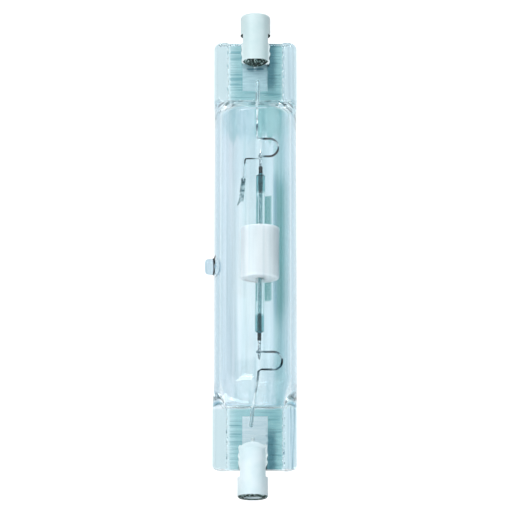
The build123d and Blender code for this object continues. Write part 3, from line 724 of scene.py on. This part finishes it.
foilGrain = dict(roughness=0.35, metallic=0.8, scale=500, bump=0.1, stretch=(0.6, 5, 1))
finishes = dict(
    cap_ceramic=steatite(),
    cement=grained("cap_cement", "c3d2d2", "f2f6f6", 0.9, scale=2200, bump=0.9, distance=0.2 * mm),
    contact_metal=grained("contact_nickel", "8d9496", "c4cbcd", 0.35, 1.0, scale=1500),
    foil=grained("seal_foil", "b4cdd4", "d8e9ee", **foilGrain),
    lead_wire=drawnWire(),
    niobium=sealedRod(),
    collar=grained("stop_collar", "010203", "0a0f14", 0.12, scale=2500),
    getter_metal=grained("getter_metal", "2f6069", "d9eaee", 0.35, 0.9, scale=1500, bump=0.6),
    alumina=alumina(),
    frit=grained("seal_frit", "0e4350", "3f8794", 0.3, scale=1500),
    tungsten=grained("tungsten", "3e4548", "7c8588", 0.4, 1.0, scale=2000),
    halide=grained("halide_salt", "c9b98d", "e6dcc0", 0.7, scale=2500, bump=0.8),
    mercury=grained("mercury", "c9ced0", "e9edee", 0.08, 1.0, scale=400, bump=0.02),
)
# nodes that look different from the rest of their slot
capillary = clearAlumina()
coil = grained("fine_coil", "4f8f98", "b9dde0", 0.35, 0.9, scale=1800)
special = dict(capillary_a=capillary, capillary_b=capillary, moly_coil_a=coil, moly_coil_b=coil,
               seal_foil_b=grained("seal_foil_b", "e6eff4", "fafcff", **foilGrain))
glass.data.materials.clear()
glass.data.materials.append(quartzGlass())
for name, node in nodes.items():
    for slot in node.material_slots:
        wanted = slot.material.name.split(".")[0]
        if wanted in finishes:
            slot.material = special.get(name, finishes[wanted])
print("finishes set")


# World directions are unit vectors. The box is a long narrow softbox, from low on the left to overhead, with
# a hard near edge and a softer far one.
stage = dict(floorZ=-0.01005, half=1.5, glow=0.88, floorTone=0.3, sideTone="1a2d34", topTone="bccbd1",
             sideTo=(0.12, 0.7), endFrom=(0.45, 0.85), boxLeft=(-0.96, -0.70), boxRight=(0.05, -0.01),
             boxNear=(0.186, 0.194), boxFar=(0.232, 0.200), boxLow=(0.0, 0.1), boxPower=1.8)
lamps = dict(
    key=dict(place=(-0.42, 0.6, 0.6), size=(0.5, 0.45), power=4.6, tint=(1, 1, 1)),
    low=dict(place=(-0.25, -0.75, 0.32), size=(0.4, 0.4), power=3.0, tint=(0.97, 0.99, 1)),
    fill=dict(place=(0.5, 0.3, 0.45), size=(0.5, 0.5), power=0.9, tint=(0.95, 0.98, 1)),
)
view = dict(distance=0.817, tilt=12.9, lens=236.1, sensor=36, aside=0.0005, along=-0.00095, clip=(0.01, 10))
bounces = dict(max_bounces=32, transmission_bounces=32, glossy_bounces=24)


def makeFloor():
    # the floor glows for the eye, glass and metal only, so that it adds no light to the matte pieces
    half = stage["half"]
    square = ((-half, -half), (half, -half), (half, half), (-half, half))
    corners = [(x, y, stage["floorZ"]) for x, y in square]
    mesh = bpy.data.meshes.new("floor")
    mesh.from_pydata(corners, [], [(0, 1, 2, 3)])
    floor = bpy.data.objects.new("floor", mesh)
    bpy.context.scene.collection.objects.link(floor)
    made, tree, shader = newMaterial("pale_floor")
    rays = tree.nodes.new("ShaderNodeLightPath").outputs
    seen = maths(tree, "MAXIMUM", rays["Is Camera Ray"], rays["Is Transmission Ray"])
    seen = maths(tree, "MAXIMUM", seen, rays["Is Glossy Ray"])
    feed(tree, shader, {
        "Base Color": (stage["floorTone"],) * 3 + (1.0,),
        "Roughness": 1.0,
        "Specular IOR Level": 0.0,
        "Emission Color": (1.0, 1.0, 1.0, 1.0),
        "Emission Strength": times(tree, seen, stage["glow"]),
    })
    mesh.materials.append(made)


def makeWorld():
    # Pale above and past both ends, dark teal at the long sides, so that glass and wire have edges. The eye
    # sees plain white.
    world = bpy.data.worlds.new("studio")
    bpy.context.scene.world = world
    world.use_nodes = True
    tree = world.node_tree
    x, y, z = axesOf(tree, tree.nodes.new("ShaderNodeTexCoord").outputs["Generated"])
    light = maths(tree, "MAXIMUM", mapped(tree, z, *stage["sideTo"]),
                  mapped(tree, maths(tree, "ABSOLUTE", y), *stage["endFrom"]))
    shade = mixed(tree, light, colour(stage["sideTone"]), colour(stage["topTone"]))
    sides = ((x, "boxLeft"), (x, "boxRight"), (y, "boxNear"), (y, "boxFar"), (z, "boxLow"))
    inBox = times(tree, *[mapped(tree, axis, *stage[name]) for axis, name in sides])
    shade = mixed(tree, inBox, shade, (stage["boxPower"],) * 3 + (1.0,))
    rays = tree.nodes.new("ShaderNodeLightPath")
    seen = mixed(tree, rays.outputs["Is Camera Ray"], shade, (1.0, 1.0, 1.0, 1.0))
    feed(tree, tree.nodes["Background"], {"Color": seen, "Strength": 1.0})


def makeLamp(name, place, size, power, tint):
    # a soft lamp that looks at the origin
    lamp = bpy.data.lights.new(name, "AREA")
    lamp.shape = "RECTANGLE"
    lamp.size, lamp.size_y = size
    lamp.energy = power
    lamp.color = tint
    holder = bpy.data.objects.new(name, lamp)
    holder.location = place
    holder.rotation_euler = (-Vector(place)).to_track_quat("-Z", "Y").to_euler()
    bpy.context.scene.collection.objects.link(holder)


def makeCamera():
    tilt = math.radians(view["tilt"])
    camera = bpy.data.cameras.new("camera")
    camera.lens = view["lens"]
    camera.sensor_width = view["sensor"]
    camera.clip_start, camera.clip_end = view["clip"]
    holder = bpy.data.objects.new("camera", camera)
    outward = Vector((0, -math.sin(tilt), math.cos(tilt)))
    up = Vector((0, math.cos(tilt), math.sin(tilt)))
    holder.location = view["distance"] * outward + view["aside"] * Vector((1, 0, 0)) + view["along"] * up
    holder.rotation_euler = (tilt, 0, 0)
    bpy.context.scene.collection.objects.link(holder)
    bpy.context.scene.camera = holder


makeFloor()
makeWorld()
for name, lamp in lamps.items():
    makeLamp(name, **lamp)
makeCamera()
bpy.context.scene.view_settings.view_transform = "Standard"
# light crosses many walls inside the glass
for name, count in bounces.items():
    setattr(bpy.context.scene.cycles, name, count)
print("stage, lights and camera set")
